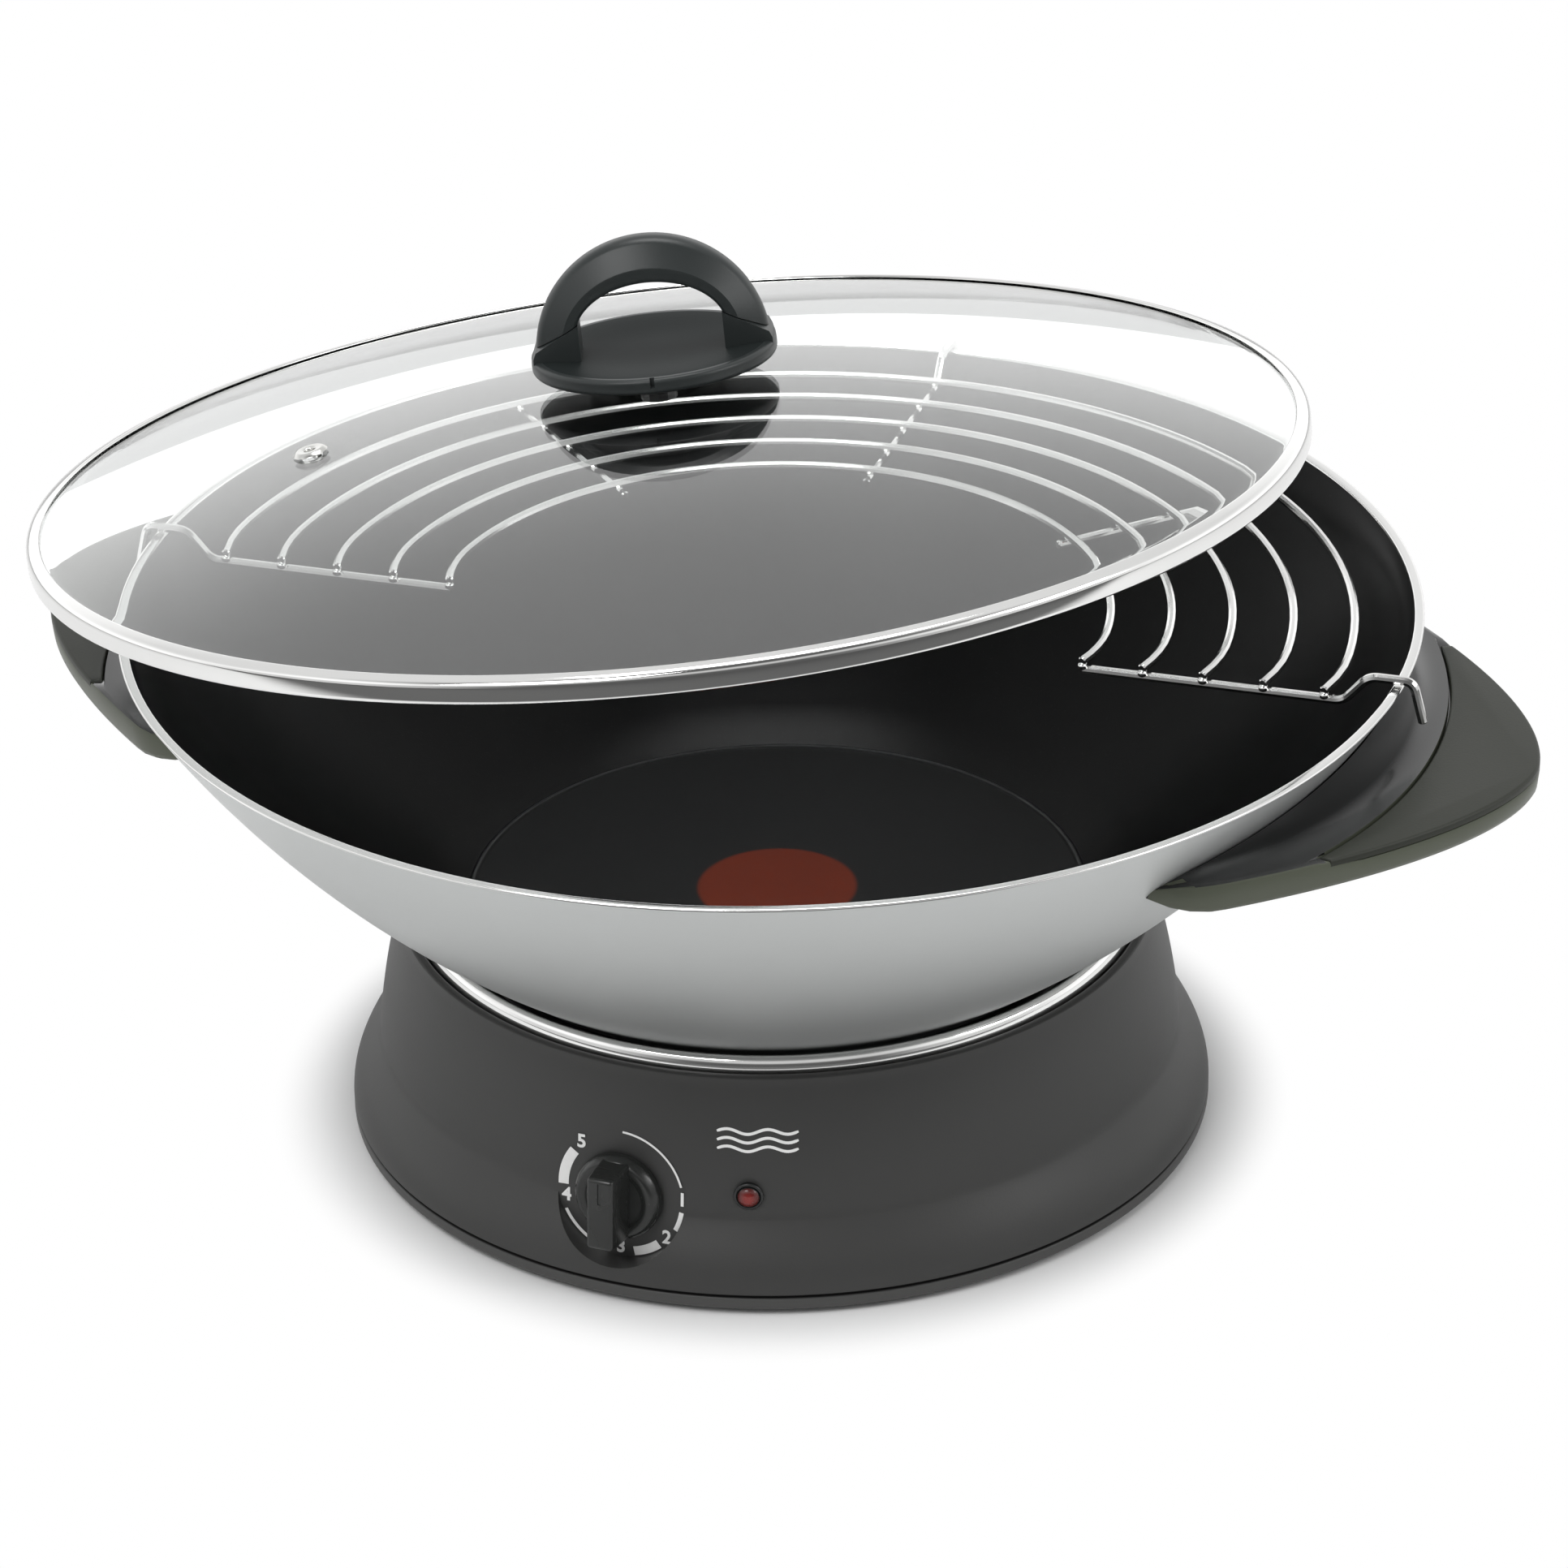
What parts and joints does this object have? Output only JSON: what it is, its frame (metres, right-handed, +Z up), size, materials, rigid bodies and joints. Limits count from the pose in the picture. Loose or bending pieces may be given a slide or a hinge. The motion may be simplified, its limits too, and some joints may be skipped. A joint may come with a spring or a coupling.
{
  "type": "electric wok",
  "caption": "Electric wok: heated base with a dial, lift-out bowl with two handles, half-round rack hooked over the rim and a domed glass lid.",
  "frame": {"origin": "on the bowl's axis, at the surface that the four feet stand on", "axes": "+Z up; the dial and pilot lens face -Y, a little towards -X; the two handles lie towards +X and -X; the inlet is at +Y"},
  "size_m": [0.4138, 0.36, 0.2628],
  "materials": {
    "base_shell": "satin",
    "bottom_cover": "gloss",
    "control_knob": "gloss",
    "cover_screw_1": "polished",
    "cover_screw_2": "polished",
    "cover_screw_3": "polished",
    "cover_screw_4": "polished",
    "element_lead": "satin",
    "foot_1": "matt",
    "foot_2": "matt",
    "foot_3": "matt",
    "foot_4": "matt",
    "handle_bracket_left": "polished",
    "handle_bracket_right": "polished",
    "handle_left": "gloss",
    "handle_plate_left": "satin",
    "handle_plate_right": "satin",
    "handle_right": "gloss",
    "handle_screw_left_1": "polished",
    "handle_screw_left_2": "polished",
    "handle_screw_right_1": "polished",
    "handle_screw_right_2": "polished",
    "heat_shield": "polished",
    "heating_element": "polished",
    "hot_plate": "matt",
    "inlet_housing": "gloss",
    "inlet_pin_earth": "polished",
    "inlet_pin_left": "polished",
    "inlet_pin_right": "polished",
    "knob_base": "satin",
    "knob_gasket": "matt",
    "knob_grip": "satin",
    "knob_screw": "polished",
    "knob_washer": "polished",
    "lid_glass": "clear",
    "lid_rim_band": "polished",
    "pilot_lamp": "clear",
    "pilot_lens": "gloss",
    "plate_pillar_1": "polished",
    "plate_pillar_2": "polished",
    "plate_pillar_3": "polished",
    "rack_arc_wire_1": "polished",
    "rack_arc_wire_2": "polished",
    "rack_arc_wire_3": "polished",
    "rack_arc_wire_4": "polished",
    "rack_arc_wire_5": "polished",
    "rack_cross_wire_left": "polished",
    "rack_cross_wire_middle": "polished",
    "rack_cross_wire_right": "polished",
    "rack_end_wire_left": "polished",
    "rack_end_wire_right": "polished",
    "supply_lead": "satin",
    "thermal_cutout": "gloss",
    "thermostat_body": "gloss",
    "thermostat_bracket": "polished",
    "thermostat_lead": "satin",
    "thermostat_shaft": "polished",
    "trim_ring": "polished",
    "vent_eyelet": "polished",
    "wok_bowl": "satin outside, non-stick inside"
  },
  "bodies": {
    "base": {"base_shell": "base_shell", "bottom_cover": "bottom_cover", "cover_screw_1": "cover_screw_1", "cover_screw_2": "cover_screw_2", "cover_screw_3": "cover_screw_3", "cover_screw_4": "cover_screw_4", "element_lead": "element_lead", "foot_1": "foot_1", "foot_2": "foot_2", "foot_3": "foot_3", "foot_4": "foot_4", "heat_shield": "heat_shield", "heating_element": "heating_element", "hot_plate": "hot_plate", "inlet_housing": "inlet_housing", "inlet_pin_earth": "inlet_pin_earth", "inlet_pin_left": "inlet_pin_left", "inlet_pin_right": "inlet_pin_right", "pilot_lamp": "pilot_lamp", "pilot_lens": "pilot_lens", "plate_pillar_1": "plate_pillar_1", "plate_pillar_2": "plate_pillar_2", "plate_pillar_3": "plate_pillar_3", "supply_lead": "supply_lead", "thermal_cutout": "thermal_cutout", "thermostat_body": "thermostat_body", "thermostat_bracket": "thermostat_bracket", "thermostat_lead": "thermostat_lead", "trim_ring": "trim_ring"},
    "control": {"control_knob": "control_knob", "thermostat_shaft": "thermostat_shaft"},
    "bowl": {"wok_bowl": "wok_bowl", "handle_bracket_left": "handle_bracket_left", "handle_bracket_right": "handle_bracket_right", "handle_left": "handle_left", "handle_plate_left": "handle_plate_left", "handle_plate_right": "handle_plate_right", "handle_right": "handle_right", "handle_screw_left_1": "handle_screw_left_1", "handle_screw_left_2": "handle_screw_left_2", "handle_screw_right_1": "handle_screw_right_1", "handle_screw_right_2": "handle_screw_right_2"},
    "rack": {"rack_arc_wire_1": "rack_arc_wire_1", "rack_arc_wire_2": "rack_arc_wire_2", "rack_arc_wire_3": "rack_arc_wire_3", "rack_arc_wire_4": "rack_arc_wire_4", "rack_arc_wire_5": "rack_arc_wire_5", "rack_cross_wire_left": "rack_cross_wire_left", "rack_cross_wire_middle": "rack_cross_wire_middle", "rack_cross_wire_right": "rack_cross_wire_right", "rack_end_wire_left": "rack_end_wire_left", "rack_end_wire_right": "rack_end_wire_right"},
    "lid": {"lid_glass": "lid_glass", "lid_rim_band": "lid_rim_band", "vent_eyelet": "vent_eyelet", "knob_base": "knob_base", "knob_gasket": "knob_gasket", "knob_grip": "knob_grip", "knob_screw": "knob_screw", "knob_washer": "knob_washer"}
  },
  "joints": [
    {"name": "thermostat_turn", "type": "hinge", "parent": "base", "child": "control", "pos_m": [-0.04407, -0.10383, 0.0285], "axis": [0.3892, 0.917, -0.0872], "range_deg": [0, 315]},
    {"name": "bowl_lift", "type": "slide", "parent": "base", "child": "bowl", "axis": [0, 0, 1], "range_m": [0, 0.12]},
    {"name": "rack_lift", "type": "slide", "parent": "bowl", "child": "rack", "axis": [0, 0, 1], "range_m": [0, 0.1]},
    {"name": "lid_lift", "type": "slide", "parent": "rack", "child": "lid", "axis": [0, 0, 1], "range_m": [0, 0.15]}
  ]
}
